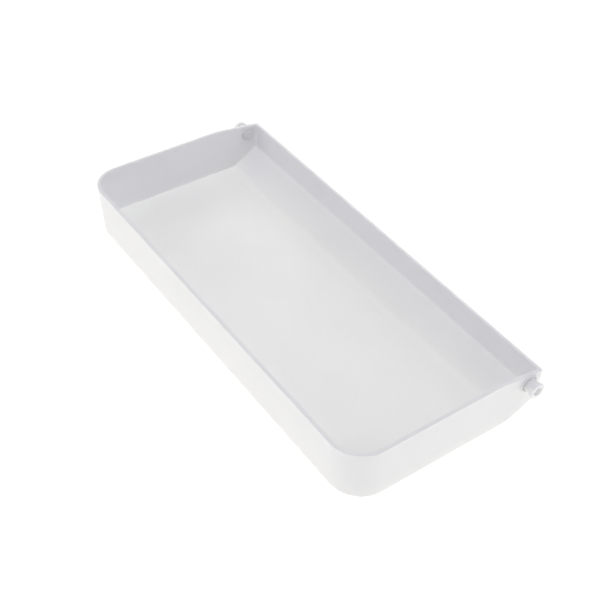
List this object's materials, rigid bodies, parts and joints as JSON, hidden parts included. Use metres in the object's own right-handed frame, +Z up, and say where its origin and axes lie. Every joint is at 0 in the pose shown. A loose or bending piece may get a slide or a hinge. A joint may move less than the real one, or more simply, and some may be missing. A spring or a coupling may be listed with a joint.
{
  "type": "pivoting tray",
  "caption": "Shallow moulded plastic tray with a ramped rear floor, rounded front corners and a stepped pivot pin at each rear end.",
  "frame": {"origin": "middle of the tray's flat bottom: centre of the object's box in X and Y, lowest point in Z", "axes": "+X along the long side towards the right pivot pin, +Y from the front wall to the rear wall, +Z up"},
  "size_m": [0.2524, 0.111, 0.0296],
  "materials": {
    "tray_plastic": "white injection-moulded plastic, soft satin",
    "pin_plastic": "white injection-moulded plastic, satin"
  },
  "bodies": {
    "tray": {"tray_shell": "tray_plastic"},
    "left_pin": {"pivot_pin_left": "pin_plastic"},
    "right_pin": {"pivot_pin_right": "pin_plastic"}
  },
  "joints": [
    {"name": "left_pivot", "type": "hinge", "parent": "tray", "child": "left_pin", "pos_m": [-0.12, 0.0471, 0.0212], "axis": [1, 0, 0], "continuous": true},
    {"name": "right_pivot", "type": "hinge", "parent": "tray", "child": "right_pin", "pos_m": [0.12, 0.0471, 0.0212], "axis": [1, 0, 0], "continuous": true}
  ]
}
